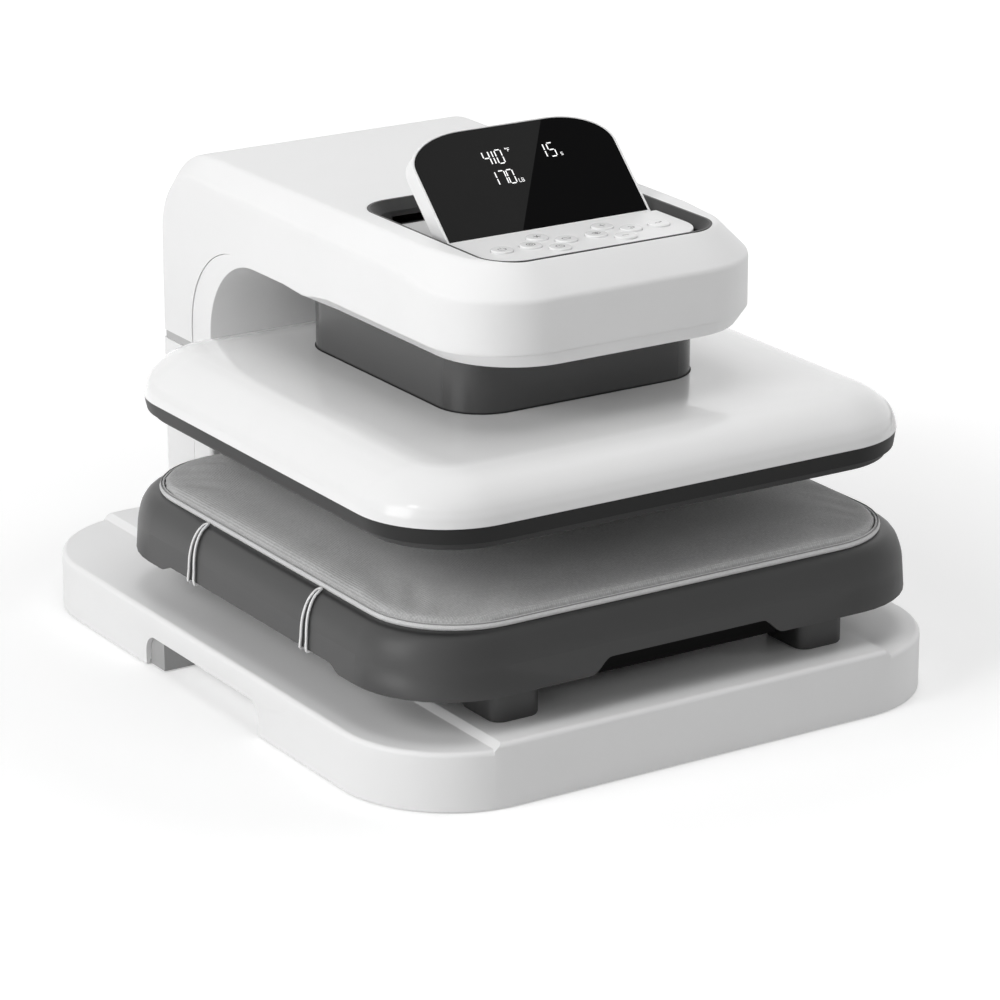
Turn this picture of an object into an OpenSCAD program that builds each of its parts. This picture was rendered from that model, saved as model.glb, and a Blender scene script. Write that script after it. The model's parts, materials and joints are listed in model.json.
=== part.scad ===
// Automatic heat press with a pull-out tray, a motor-driven platen and a folding screen.
// X runs right, Y runs back, Z runs up. All sizes in millimetres.

/* [Base] */
// width of the base
base_w = 432; // [380:1:480]
// depth of the base
base_d = 520; // [480:1:560]
// corner radius of the base in plan
base_r = 79; // [40:1:100]
// height of the side strips of the base
base_h = 40; // [30:1:50]
// height of the raised deck
deck_h = 44; // [36:1:56]
// width of the raised deck
deck_w = 296; // [240:1:320]
// reach of the sloped deck sides
deck_slope = 5; // [1:0.5:8]
// edge rounding of the base
base_edge = 3.5; // [2:0.5:12]
// wall of the plastic shells
wall = 3; // [2:0.5:4]
// length of the hand recess in each side
grip_l = 152; // [100:1:200]
// height of the hand recess
grip_h = 23; // [15:0.5:28]
// depth of the hand recess
grip_in = 26; // [15:1:40]

/* [Press] */
// centre of the platen and of the tray along Y
press_y = -44; // [-60:1:-30]
// width and depth of the heated plate
plate_w = 382; // [340:1:392]
// corner radius of the heated plate
plate_r = 56.5; // [30:0.5:80]
// height of the heated face over the floor when open
plate_z = 163.2; // [150:0.2:175]
// thickness of the heated plate
plate_t = 4.8; // [4:0.2:10]
// overhang of the cover beyond the heated plate
cover_over = 8.8; // [5:0.2:12]
// height of the dark band under the cover
band_h = 10.1; // [6:0.1:14]
// height of the domed cover
dome_h = 30.5; // [20:0.5:36]
// travel of the platen
travel = 40; // [30:0.5:41]
// width of the shroud
shroud_w = 188.6; // [150:0.2:200]
// depth of the shroud
shroud_d = 210.8; // [180:0.2:220]
// corner radius of the shroud
shroud_r = 32.4; // [15:0.2:45]
// wall of the shroud
shroud_t = 2.5; // [1.5:0.5:4]

/* [Tray] */
// width of the tray
tray_w = 412; // [380:1:425]
// depth of the tray
tray_d = 406; // [380:1:407]
// corner radius of the tray
tray_r = 68.7; // [40:0.1:90]
// underside of the tray over the floor
tray_z = 68.6; // [64:0.1:76]
// top of the tray over the floor
tray_top = 109.5; // [100:0.5:112]
// reach of the rounded upper tray edge across
tray_edge = 13.6; // [6:0.1:14]
// reach of the rounded upper tray edge down
tray_brow = 26; // [10:0.5:30]
// lean of the tray sides below that edge
tray_draft = 1.2; // [0.5:0.1:2]
// forward travel of the tray
tray_slide = 160; // [60:5:180]
// width and depth of the pad
pad_w = 382; // [340:1:390]
// thickness of the pad at its edge
pad_t = 9.8; // [6:0.2:12]
// rise of the pad crown over its edge
pad_crown = 2.2; // [0.5:0.1:3]
// diameter of the elastic cord
cord_d = 1.8; // [1.5:0.1:3]
// distance of the elastic loops from the tray centre
loop_y = 73.5; // [40:0.5:95]

/* [Head] */
// width of the head and the rear column
head_w = 235.6; // [200:0.2:260]
// front of the head
head_front = -180; // [-200:1:-160]
// rear of the head and the column
head_rear = 239.6; // [225:0.2:255]
// front face of the rear column
column_front = 161; // [160:0.2:170]
// front corner radius of the head
head_r = 58; // [30:1:80]
// rounding between the rear and the top of the head
crown_r = 61; // [40:1:70]
// slope along the front edge of the head
front_cut = 20.5; // [12:0.5:24]
// slope along the side edges of the head
side_cut = 14; // [8:0.5:20]
// height of the seam under the head
seam_z = 260.4; // [256:0.2:264]
// underside of the head
under_z = 251.4; // [248:0.2:254]
// inward lean of the rim under the head at its sides
rim_side = 8.6; // [4:0.2:12]
// inward lean of that rim in front
rim_front = 1.6; // [1:0.2:6]
// top of the head
head_top = 315.2; // [313:0.2:322]
// height of the groove around the rear column
groove_z = 177.5; // [150:0.5:190]
// width of that groove
groove_h = 6; // [2:0.5:10]
// radius of the arch behind the platen
arch_r = 61.5; // [40:0.5:70]
// top of that arch
arch_top = 255.6; // [254:0.2:257]

/* [Console] */
// width of the console recess
recess_w = 176; // [168:1:184]
// front of the console recess
recess_front = -159.4; // [-162:0.2:-150]
// rear of the console recess
recess_rear = 16.6; // [10:0.2:40]
// corner radius of the console recess
recess_r = 26; // [10:1:34]
// face of the button panel
panel_z = 311.8; // [309:0.2:313]
// rear edge of the button panel
panel_rear = -91; // [-100:0.5:-90]
// gap between the button panel and the rim of the recess
panel_gap = 9; // [8:0.5:14]
// corner radius of the button panel
panel_r = 25; // [12:0.5:28]
// width of the screen
screen_w = 156.4; // [140:0.2:157]
// height of the screen from its hinge
screen_h = 81.5; // [60:0.5:88]
// thickness of the screen
screen_t = 12.5; // [8:0.5:13]
// tilt of the raised screen from level
screen_tilt = 44; // [30:1:70]
// reach of the rounded upper screen corners across
screen_rx = 45; // [20:1:60]
// reach of the rounded upper screen corners down
screen_ry = 25; // [12:1:34]
// border of the screen around its glass
screen_rim = 1.8; // [1.6:0.2:8]
// diameter of a button
button_d = 14.5; // [10:0.5:15]
// travel of a button
button_travel = 1; // [0.5:0.1:1.2]
// distance of the outer buttons from the middle
button_out = 60; // [50:1:66]
// distance of the button crosses from the middle
cross_x = 25; // [22:0.5:30]
// distance of the buttons in a cross from its centre
cross_r = 13.5; // [13:0.1:15]

/* [Drive] */
// diameter of the guide rods
rod_d = 12; // [8:0.5:16]
// half spacing of the guide rods across
rod_x = 64; // [50:1:70]
// half spacing of the guide rods along
rod_y = 48; // [40:1:54]
// diameter of the lead screw
screw_d = 16; // [10:0.5:20]
// radial clearance of running fits
run_fit = 0.05; // [0.02:0.01:0.1]
// clearance between parts that slide past each other
slide_gap = 0.6; // [0.3:0.1:1]

/* [Hidden] */
eps = 0.01;
fine = 64;
sole_z = 4;
grip_y = 2;
stop_l = 19;
cover_w = plate_w + 2 * cover_over;
cover_d = cover_w - 9.2;
cover_r = plate_r + 7.3;
band_z = plate_z + plate_t;
cover_z = band_z + band_h;
shroud_z = cover_z + dome_h;
shroud_y = press_y + 17.2;
tub_floor = panel_z - screen_t - 0.9;
tub_under = tub_floor - 1.7;
shroud_top = tub_under - 1;
head_bottom = groove_z + groove_h;
arch_y = column_front - 1.4 - arch_r;
arch_z = arch_top - arch_r;
flange_w = 25.6;
seam_r = 65;
seam_y = column_front - 1.4 + flange_w - seam_r;
soft = 6;
shoulder_y = -90;
shoulder_r = 30;
shoulder_cut = (front_cut + side_cut) / 2 - 1;
spine_y = head_rear - 18.6;
floor_z = tray_z + 11.4;
floor_in = wall + tray_draft + 0.3;
slot_h = 4.6;
slot_l = 204;
slot_turn = 15;
pull_l = 116;
pull_turn = 16;
pull_h = 10;
slot_z = tray_z + slot_h;
skirt_y = press_y - tray_d / 2 + 28;
skirt_w = 176;
skirt_rear = 150;
skirt_up = 12.5;
foot_w = 36;
foot_d = 44;
foot_r = 9;
foot_x = 118;
foot_in = 37.5;
foot_cut = 0.6;
hinge_y = panel_rear + 9.2;
hinge_z = panel_z - 5.8;
well_gap = panel_gap - 1;
slope_z = panel_z - 3;
rim_z = head_top;
lip_in = 1.8;
cross_z = arch_top + 4.4;
beam_t = 6;
motor_z = cross_z + beam_t + 14;
carrier_z = shroud_z + 13.4;
carrier_w = shroud_w - 2 * shroud_t - 5.6;
carrier_d = 160;
heater_d = 7;
heater_l = 220;
heater_x = 50;
blanket_w = 340;
blanket_r = 30;
post_x = 36;
post_y = 72;
post_d = 12;
heat_top = band_z + 3.2;
rod_low = heat_top + 9;
recess_y = (recess_front + recess_rear) / 2;
recess_d = recess_rear - recess_front;
key_z = panel_z - 9.2 - button_travel;
key_hole = button_d + 0.5;
rail_x = 60;
runner_front = 30;
rail_front = runner_front - tray_slide - 10;
white = [0.93, 0.93, 0.93];
grey = [0.28, 0.28, 0.29];
dark = [0.1, 0.1, 0.11];
steel = [0.62, 0.63, 0.65];
brass = [0.72, 0.6, 0.32];
board = [0.1, 0.35, 0.2];
KEYS = [
    ["button_power", -button_out, 0],
    ["button_mode_left", -cross_x - cross_r, 0],
    ["button_mode_rear", -cross_x, cross_r],
    ["button_mode_front", -cross_x, -cross_r],
    ["button_mode_right", -cross_x + cross_r, 0],
    ["button_set_left", cross_x - cross_r, 0],
    ["button_set_rear", cross_x, cross_r],
    ["button_set_front", cross_x, -cross_r],
    ["button_set_right", cross_x + cross_r, 0],
    ["button_start", button_out, 0]
];
key_y = panel_rear - 30.4;
// rise of the domed cover as a share of its height, with the way in from its edge
DOME = [
    [0, 0], [0.1, 0.7], [0.2, 1.4], [0.3, 2.7], [0.39, 4.2], [0.5, 7.1], [0.63, 11.8], [0.75, 17.7],
    [0.86, 26.1], [0.93, 36.5]
];

// Rounded rectangle about the origin.
module rr(w, d, r, n = fine) {
    square([w - 2 * r, d], center = true);
    square([w, d - 2 * r], center = true);
    for (x = [-1, 1])
        for (y = [-1, 1])
            translate([x * (w / 2 - r), y * (d / 2 - r)])
                circle(r, $fn = n);
}

// Flat rounded block from z0 to z1.
module block(w, d, r, z0, z1, n = fine) {
    translate([0, 0, z0])
        linear_extrude(z1 - z0)
            rr(w, d, r, n);
}

// Plain box from corner a to corner b.
module span(a, b) {
    translate(a)
        cube(b - a);
}

// Round bar along Z from z0 to z1.
module bar(d, z0, z1, n = 48) {
    translate([0, 0, z0])
        cylinder(d = d, h = z1 - z0, $fn = n);
}

// Quarter-rounded ring used at the corner of a shell.
module corner(r, f, z0, top) {
    translate([0, 0, z0])
        cylinder(r = r, h = top - f - z0, $fn = fine);
    translate([0, 0, top - f])
        rotate_extrude($fn = fine)
            intersection() {
                union() {
                    translate([r - f, 0])
                        circle(f, $fn = 32);
                    translate([0, -f])
                        square([max(r - f, eps), 2 * f]);
                }
                translate([0, -f])
                    square([r + 1, 2 * f]);
            }
}

// Solid of the base up to height h, set in by g.
module base_form(h, g) {
    hull()
        for (x = [-1, 1])
            for (y = [-1, 1])
                translate([x * (base_w / 2 - base_r), y * (base_d / 2 - base_r), 0])
                    corner(base_r - g, base_edge - g / 2, 1, h - g);
}

module grip_pockets(g) {
    for (m = [0, 1])
        mirror([m, 0, 0])
            translate([base_w / 2 - grip_in + 30, grip_y, 0])
                rotate([90, 0, 90])
                    translate([0, 0, -30 - g])
                        linear_extrude(60 + g)
                            intersection() {
                                rr(grip_l + 2 * g, 2 * grip_h + 2 * g, 12 + g);
                                translate([-grip_l, -2])
                                    square([2 * grip_l, 2 * grip_h]);
                            }
}

// Prism of the raised deck with its sloped sides.
module deck_prism() {
    low = deck_w / 2 + deck_slope;
    rotate([90, 0, 0])
        translate([0, 0, -base_d])
            linear_extrude(2 * base_d)
                polygon([
                    [-low, 0], [low, 0], [low, base_h - 0.5], [deck_w / 2, deck_h],
                    [deck_w / 2, deck_h + 1], [-deck_w / 2, deck_h + 1], [-deck_w / 2, deck_h],
                    [-low, base_h - 0.5]
                ]);
}

// Base casing with a raised deck and a hand recess in each side.
module base_shell() {
    color(white)
        difference() {
            union() {
                base_form(base_h, 0);
                intersection() {
                    base_form(deck_h, 0);
                    deck_prism();
                }
            }
            difference() {
                union() {
                    block(base_w - 2 * wall, base_d - 2 * wall, base_r - wall, 0, base_h - base_edge);
                    block(base_w - 20, base_d - 20, base_r - 10, 0, base_h - wall);
                    block(deck_w - 2 * wall, base_d - 24, 8, 0, deck_h - wall);
                }
                intersection() {
                    grip_pockets(wall);
                    block(base_w, base_d, base_r, sole_z, base_h);
                }
            }
            grip_pockets(0);
            span([-52, spine_y - 42, 0], [52, spine_y + 2, deck_h + 1]);
        }
}

// Plate that closes the base from below, with pockets for the feet and a rear stop in each recess.
module base_plate() {
    color(grey)
        difference() {
            union() {
                block(base_w - 2 * wall - 0.8, base_d - 2 * wall - 0.8, base_r - wall - 0.4, 1, sole_z);
                intersection() {
                    grip_pockets(-0.3);
                    span([0.4 + wall - base_w / 2, grip_y, 1], [base_w / 2 - wall - 0.4, base_d, grip_h]);
                }
            }
            for (s = [-1, 1])
                translate([s * base_w / 2, grip_y, 0])
                    span([-grip_in - wall - 1, -grip_l / 2 - wall - 1, 0],
                         [grip_in + wall + 1, grip_l / 2 - stop_l, grip_h + 1]);
            for (p = foot_places())
                translate(p)
                    bar(30.4, 0, 2.5);
            for (p = plate_screws())
                translate(p)
                    bar(4.2, 0, 9, 32);
        }
}

function foot_places() = [for (x = [-1, 1]) for (y = [-1, 1]) [x * 150, y * (base_d / 2 - 60), 0]];
function plate_screws() = [for (x = [-1, 1]) for (y = [-1, 1]) [x * 95, 30 + y * 170, 0]];

// Four rubber feet.
module rubber_feet() {
    color(dark)
        for (p = foot_places())
            translate(p)
                bar(30, 0, 2.5);
}

// Welded frame: sole, upright channel, beam and crosshead.
module steel_frame() {
    color(steel)
        difference() {
            union() {
                span([-110, -160, sole_z], [110, spine_y + 4, sole_z + 4]);
                span([-50, spine_y - 5, sole_z], [50, spine_y, cross_z + 26]);
                for (s = [-50, 46])
                    span([s, spine_y - 40, sole_z], [s + 4, spine_y, cross_z + 26]);
                for (s = [-50, 46])
                    span([s, 20, cross_z], [s + 4, spine_y, cross_z + 26]);
                span([-50, 20, cross_z], [50, spine_y, cross_z + beam_t]);
                span([-rod_x - 16, press_y - rod_y - 20, cross_z],
                     [rod_x + 16, press_y + rod_y + 20, cross_z + beam_t]);
            }
            rods_at(rod_d + 0.04, 0, 400);
            translate([0, press_y, 0])
                bar(screw_d + 2, 200, 400);
            for (p = plate_screws())
                translate(p)
                    bar(3.4, 0, 20, 32);
        }
}

module rods_at(d, z0, z1) {
    for (x = [-1, 1])
        for (y = [-1, 1])
            translate([x * rod_x, press_y + y * rod_y, 0])
                bar(d, z0, z1);
}

// Plan of the rear column with sloped rear corners, set in by g.
module column_plan(g) {
    w = head_w / 2 - g;
    c = side_cut - 0.586 * g;
    q = max(soft - g, 0.5);
    f = max(3 - g, 0.3);
    t = q * tan(22.5);
    hull()
        for (s = [-1, 1]) {
            translate([s * (w - f), column_front + g + f])
                circle(f, $fn = 32);
            translate([s * (w - q), head_rear - g - c - t])
                circle(q, $fn = fine);
            translate([s * (w - c - t), head_rear - g - q])
                circle(q, $fn = fine);
        }
}

// Lower casing of the rear column.
module column_shell() {
    color(white)
        difference() {
            translate([0, 0, deck_h])
                linear_extrude(groove_z - deck_h)
                    column_plan(0);
            translate([0, 0, deck_h - 1])
                linear_extrude(groove_z)
                    column_plan(wall);
            rear_window(0.4);
            for (s = [-1, 1])
                translate([s * head_w / 2, seam_y + seam_r, 0])
                    span([-0.8, 0, 0], [0.8, 0.8, groove_z + 1]);
        }
}

// Opening for the rear cover, wider by g.
module rear_window(g) {
    span([-82 - g, head_rear - wall - 1, 70 - g], [82 + g, head_rear + 5, 164 + g]);
}

// Set-in collar that joins the two column casings.
module column_collar() {
    color([0.55, 0.55, 0.56])
        difference() {
            union() {
                translate([0, 0, groove_z - 4])
                    linear_extrude(groove_h + 8)
                        column_plan(wall + 0.2);
                translate([0, 0, groove_z])
                    linear_extrude(groove_h)
                        column_plan(1);
            }
            translate([0, 0, groove_z - 5])
                linear_extrude(groove_h + 10)
                    column_plan(wall + 2.6);
            span([-200, 0, head_bottom], [200, seam_y + seam_r + 1, 400]);
        }
}

// Edge of a round form of radius r that slopes in by c under its end face.
function soft_edge(r, c) = let (t = soft * tan(22.5)) concat(
    [for (a = [0:9:45]) [r - soft + soft * cos(a), -c - t + soft * sin(a)]],
    [for (a = [45:9:90]) [r - c - t + soft * cos(a), -soft + soft * sin(a)]]
);

module soft_post(r, c, h) {
    rotate_extrude($fn = 96)
        polygon(concat([[0, -h], [r, -h]], soft_edge(r, c), [[0, 0]]));
}

// Solid of the head with sloped upper edges and a round rear, set in by g.
module head_form(g) {
    hull()
        for (s = [-1, 1]) {
            translate([s * (head_w / 2 - head_r), head_front + head_r, head_top - g])
                soft_post(head_r - g, front_cut - 0.586 * g, head_top - head_bottom);
            translate([s * (head_w / 2 - shoulder_r), shoulder_y, head_top - g])
                soft_post(shoulder_r - g, shoulder_cut - 0.586 * g, head_top - head_bottom);
            translate([s * (head_w / 2 - g), head_rear - crown_r, head_top - crown_r])
                rotate([0, s * 90, 0])
                    soft_post(crown_r - g, side_cut - 0.586 * g, 40);
            translate([0, 0, head_bottom - g])
                linear_extrude(head_top - crown_r - head_bottom + g)
                    column_plan(g);
        }
}

// Side profile below an arch.
module arch_profile(y, z, r, low) {
    translate([-400, low - 200])
        square([400 + y, z + r - low + 200]);
    translate([-400, low - 200])
        square([400 + y + r, z - low + 200]);
    translate([y, z])
        circle(r, $fn = 96);
}

// That profile as a prism from x0 to x1.
module below_arch(y, z, r, low, x0 = -200, x1 = 200) {
    rotate([90, 0, 90])
        translate([0, 0, x0])
            linear_extrude(x1 - x0)
                arch_profile(y, z, r, low);
}

// Sloped edge of the arch on each side of the head.
module arch_slope() {
    for (s = [-1, 1])
        hull() {
            translate([s * (head_w / 2 - 1.6), 0, 0])
                below_arch(arch_y, arch_z, arch_r, head_bottom, -eps, eps);
            translate([s * (head_w / 2 + 0.2), 0, 0])
                below_arch(arch_y, arch_z, arch_r + 1, head_bottom, -eps, eps);
        }
}

// Open space under the head, lower in front than at the arch, set off by g.
module under_head(g) {
    difference() {
        below_arch(arch_y, arch_z, arch_r + g, head_bottom);
        rotate([90, 0, 90])
            translate([0, 0, -200])
                linear_extrude(400)
                    polygon([
                        [-600, under_z + g], [0, under_z + g],
                        [60, arch_top + g + eps], [-600, arch_top + g + eps]
                    ]);
    }
}

// Prism of the console recess, set in by g.
module recess(g, z0, z1) {
    translate([0, recess_y, 0])
        block(recess_w - 2 * g, recess_d - 2 * g, recess_r - g, z0, z1);
}

// Upper casing of the head and the column top.
module head_shell() {
    color(white)
        difference() {
            head_form(0);
            head_form(wall);
            below_arch(seam_y, seam_z - seam_r, seam_r, head_bottom);
            recess(0, seam_z + 10, head_top + 10);
        }
}

// Lower cover of the head with the arch behind the platen.
module head_liner() {
    color(white)
        difference() {
            intersection() {
                translate([0, 0, head_bottom])
                    linear_extrude(100)
                        liner_plan(0.8);
                below_arch(seam_y - 0.3, seam_z - seam_r - 0.3, seam_r, head_bottom);
                liner_taper();
            }
            under_head(0);
            arch_slope();
            difference() {
                translate([0, 0, head_bottom - 1])
                    linear_extrude(120)
                        liner_plan(wall + 2.4);
                under_head(wall);
            }
            translate([0, shroud_y, 0])
                block(shroud_w + 2.4, shroud_d + 2.4, shroud_r + 1.2, head_bottom, arch_top + 45);
        }
}

// Plan of the whole head, set in by g.
module liner_plan(g) {
    liner_slab(g);
    span2([-head_w / 2 + g, 0], [head_w / 2 - g, 200]);
    column_plan(g);
}

module span2(a, b) {
    translate(a)
        square(b - a);
}

// Inward taper of the lower rim under the head, running out towards the arch.
module liner_taper() {
    hull() {
        translate([0, head_front + (300 + rim_front) / 2, under_z])
            linear_extrude(0.1)
                rr(head_w - 2 * rim_side, 300 - rim_front, head_r - 2);
        translate([0, 0, seam_z - 1.2])
            linear_extrude(20)
                liner_slab(0.8);
    }
    hull() {
        rim_section(0, rim_side);
        rim_section(60, 0.8);
    }
    span([-head_w, 60, 0], [head_w, 400, 400]);
}

// Thin section of the rim at y, leaning in by g below.
module rim_section(y, g) {
    w = head_w / 2;
    span([g - w, y, under_z], [w - g, y + eps, under_z + eps]);
    span([0.8 - w, y, seam_z - 1.2], [w - 0.8, y + eps, seam_z + 20]);
}

module liner_slab(g) {
    translate([0, head_front + 150])
        rr(head_w - 2 * g, 300 - 2 * g, head_r - g);
}

// Vented cover in the rear of the column.
module rear_cover() {
    color([0.86, 0.86, 0.86])
        difference() {
            union() {
                span([-82, head_rear - wall, 70], [82, head_rear, 164]);
                for (s = [-1, 1])
                    translate([s * 83, head_rear - wall, 0])
                        span([-5, -2.2, 80], [5, 0, 154]);
            }
            for (k = [0:7])
                span([-60, head_rear - 10, 118 + 5 * k], [60, head_rear + 5, 120.4 + 5 * k]);
            span([-62, head_rear - 10, 81], [-31, head_rear + 5, 105]);
            span([32, head_rear - 10, 83], [54, head_rear + 5, 103]);
            for (p = cover_holes())
                translate(p)
                    rotate([90, 0, 0])
                        bar(3.4, -10, 10, 32);
        }
}

function cover_holes() = [for (x = [-76, 76]) for (z = [77, 157]) [x, head_rear, z]];

// Screws of the rear cover and of the base plate.
module cover_screws() {
    color(steel) {
        for (p = cover_holes())
            translate(p)
                rotate([90, 0, 0]) {
                    bar(6.4, -1.6, 0, 32);
                    bar(3.2, 0, 9, 32);
                }
        for (p = plate_screws())
            translate(p) {
                bar(7, 0.4, 1, 32);
                bar(3.2, 0.8, 11, 32);
            }
    }
}

// Appliance inlet with three pins.
module power_inlet() {
    color(dark) {
        difference() {
            union() {
                span([-71, head_rear, 77], [-22, head_rear + 2.4, 109]);
                span([-61.5, head_rear - 16, 81.4], [-31.5, head_rear + 2.4, 104.6]);
            }
            span([-58.8, head_rear - 14, 83.4], [-34.2, head_rear + 5, 102.6]);
        }
        for (p = [[-53, 91], [-46.5, 95], [-40, 91]])
            span([p[0] - 1, head_rear - 15, p[1] - 2], [p[0] + 1, head_rear - 3, p[1] + 2]);
    }
}

// Frame of the mains switch.
module switch_bezel() {
    color(dark)
        difference() {
            union() {
                span([29, head_rear, 80], [57, head_rear + 2, 106]);
                span([32.4, head_rear - 12, 83.4], [53.6, head_rear, 102.6]);
            }
            span([34.4, head_rear - 10.5, 85.4], [51.6, head_rear + 5, 100.6]);
            translate([43, head_rear - 3, 93])
                rotate([0, 90, 0])
                    bar(2.4, -10, 10, 32);
        }
}

// Rocking key of the mains switch.
module rocker() {
    color([0.16, 0.16, 0.17])
        translate([43, head_rear - 3, 93])
            rotate([0, 90, 0]) {
                rotate([0, 0, 8])
                    translate([0, 0, -8])
                        linear_extrude(16)
                            polygon([[-6, -3], [-6.6, 4.2], [0, 2.8], [6.6, 4.2], [6, -3]]);
                bar(2.3, -9.8, 9.8, 32);
            }
}

// Control board on its spacers behind the upright.
module control_board() {
    color(board) {
        span([-62, spine_y + 4, 108], [62, spine_y + 5.6, 172]);
        for (x = [-40, 40])
            for (z = [114, 166])
                translate([x, spine_y, z])
                    rotate([-90, 0, 0])
                        bar(8, 0, 4, 32);
        span([-30, spine_y + 5.6, 116], [4, spine_y + 12, 146]);
        span([20, spine_y + 5.6, 112], [48, spine_y + 13, 124]);
    }
}

// Four fixed guide rods under the crosshead.
module guide_rods() {
    color(steel)
        rods_at(rod_d, rod_low, cross_z + beam_t + 2);
}

// Gearbox on the crosshead.
module gearbox() {
    color([0.45, 0.46, 0.48])
        difference() {
            span([-28, press_y - 30, cross_z + beam_t], [28, press_y + 30, tub_under - 2]);
            translate([0, press_y, 0])
                bar(screw_d + 2 * run_fit, 200, tub_under - 5);
        }
}

// Geared motor lying in the beam.
module drive_motor() {
    color([0.3, 0.31, 0.33]) {
        translate([0, press_y + 30, motor_z])
            rotate([-90, 0, 0])
                bar(26, 0, 92, 64);
        span([-10, press_y + 40, cross_z + beam_t], [10, press_y + 110, motor_z - 6]);
    }
}

// Form of the console tub: straight below, flaring out to the rim, set in by g.
module tub_form(g, z0, low, high) {
    recess(well_gap + g, z0, low + eps);
    hull() {
        recess(well_gap + g, low, low + eps);
        recess(lip_in + 0.75 * g, high - eps, high);
    }
}

// Dark tub that lines the console recess, with a slot in its rear wall.
module console_tub() {
    color(grey)
        difference() {
            union() {
                tub_form(-2.2, tub_under, slope_z - 3, rim_z);
                for (s = [-1, 1])
                    translate([s * (recess_w / 2 - well_gap + 2), hinge_y, hinge_z])
                        rotate([0, 90, 0])
                            bar(9, -2, 2, 48);
            }
            tub_form(0, tub_floor, slope_z, rim_z + 2 * eps);
            for (s = [-1, 1])
                translate([s * recess_w / 2, hinge_y, hinge_z])
                    rotate([0, 90, 0])
                        bar(4 + 2 * run_fit, -12, 12, 48);
            span([-62, recess_rear - well_gap - 2, tub_floor + 1], [62, recess_rear, slope_z - 3.6]);
        }
}

// Pale plate on the floor of the screen bay.
module well_plate() {
    color([0.7, 0.7, 0.7])
        difference() {
            recess(well_gap + 0.6, tub_floor, tub_floor + 0.8);
            span([-200, recess_front - 1, 0], [200, hinge_y + 9, 400]);
        }
}

// Rounded slab of the button panel, set in by g.
module panel_slab(g, z0, z1) {
    k = panel_gap + g;
    translate([0, recess_y, 0])
        block(recess_w - 2 * k, recess_d - 2 * k, panel_r - g, z0, z1);
}

// Button panel with its holes and rear apron.
module button_panel() {
    color(white)
        difference() {
            intersection() {
                union() {
                    panel_slab(0, panel_z - 2.5, panel_z);
                    difference() {
                        panel_slab(0, tub_floor, panel_z);
                        panel_slab(2, tub_floor - 1, panel_z + 1);
                    }
                    span([panel_gap + 2 - recess_w / 2, panel_rear - 2, key_z + 2],
                         [recess_w / 2 - panel_gap - 2, panel_rear, panel_z]);
                }
                span([-200, recess_front, 0], [200, panel_rear, 400]);
            }
            for (k = KEYS)
                translate([k[1], key_y + k[2], 0])
                    bar(key_hole, 250, 400);
        }
}

// Key board with one switch dome under each button.
module key_board() {
    color(board) {
        intersection() {
            panel_slab(2.4, key_z, key_z + 1.6);
            span([-200, recess_front, 0], [200, panel_rear - 3, 400]);
        }
        for (x = [-70, 70])
            translate([x, key_y - 8, 0])
                bar(6, tub_floor, key_z, 32);
        for (k = KEYS)
            translate([k[1], key_y + k[2], 0])
                bar(6, key_z, key_z + 2.6, 32);
    }
}

// One push button: cap, stem and holding flange.
module button(i) {
    color(white)
        translate([KEYS[i][1], key_y + KEYS[i][2], 0]) {
            bar(button_d, panel_z - 6, panel_z + 1.3);
            bar(button_d + 2.4, panel_z - 4.5, panel_z - 2.6);
        }
}

// Two T-rails on the deck.
module tray_rails() {
    color(steel)
        for (s = [-1, 1])
            translate([s * rail_x, 0, 0]) {
                span([-12, rail_front, deck_h], [12, 152, deck_h + 2.5]);
                span([-3, rail_front, deck_h], [3, 152, deck_h + 14]);
                span([-9, rail_front, deck_h + 11], [9, 152, deck_h + 15]);
            }
}

// Runners under the tray that hold the rails.
module tray_runners() {
    color(dark)
        for (s = [-1, 1])
            translate([s * rail_x, 0, 0])
                difference() {
                    span([-16, runner_front, deck_h + 5], [16, 146, floor_z]);
                    span([-3 - slide_gap, 0, 0], [3 + slide_gap, 200, deck_h + 14]);
                    span([-9 - slide_gap, 0, deck_h + 11 - slide_gap],
                         [9 + slide_gap, 200, deck_h + 15 + slide_gap]);
                }
}

// Dark skirt under the tray around the rails.
module tray_skirt() {
    color(dark)
        difference() {
            span([-skirt_w / 2, skirt_y, deck_h + skirt_up], [skirt_w / 2, skirt_rear, floor_z]);
            span([wall - skirt_w / 2, skirt_y + wall, 0], [skirt_w / 2 - wall, skirt_rear + 9, 400]);
        }
}

// Stack of rounded slabs that a soft-edged form is drawn over.
module slabs(w, d, r, steps) {
    hull()
        for (s = steps)
            translate([0, 0, s[0]])
                linear_extrude(0.1)
                    rr(w - 2 * s[1], d - 2 * s[1], max(r - s[1], 12), 40);
}

// Solid of the tray, set in by g.
module tray_form(g) {
    slabs(tray_w, tray_d, tray_r, concat(
        [[tray_z - g, g]],
        [for (a = [90:-10:0])
            [tray_top - g - tray_brow * (1 - cos(a)) - 0.1, g + tray_draft + tray_edge * (1 - sin(a))]]
    ));
}

// Outline of a raised stretch in the lower edge of a tray side: flat length, end run and height.
module ogee(l, run, h) {
    polygon(concat(
        [[-l / 2 - run, -5]],
        [for (i = [0:8]) [-l / 2 - run * (1 - i / 8), h * (0.5 - 0.5 * cos(22.5 * i))]],
        [for (i = [8:-1:0]) [l / 2 + run * (1 - i / 8), h * (0.5 - 0.5 * cos(22.5 * i))]],
        [[l / 2 + run, -5]]
    ));
}

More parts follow.
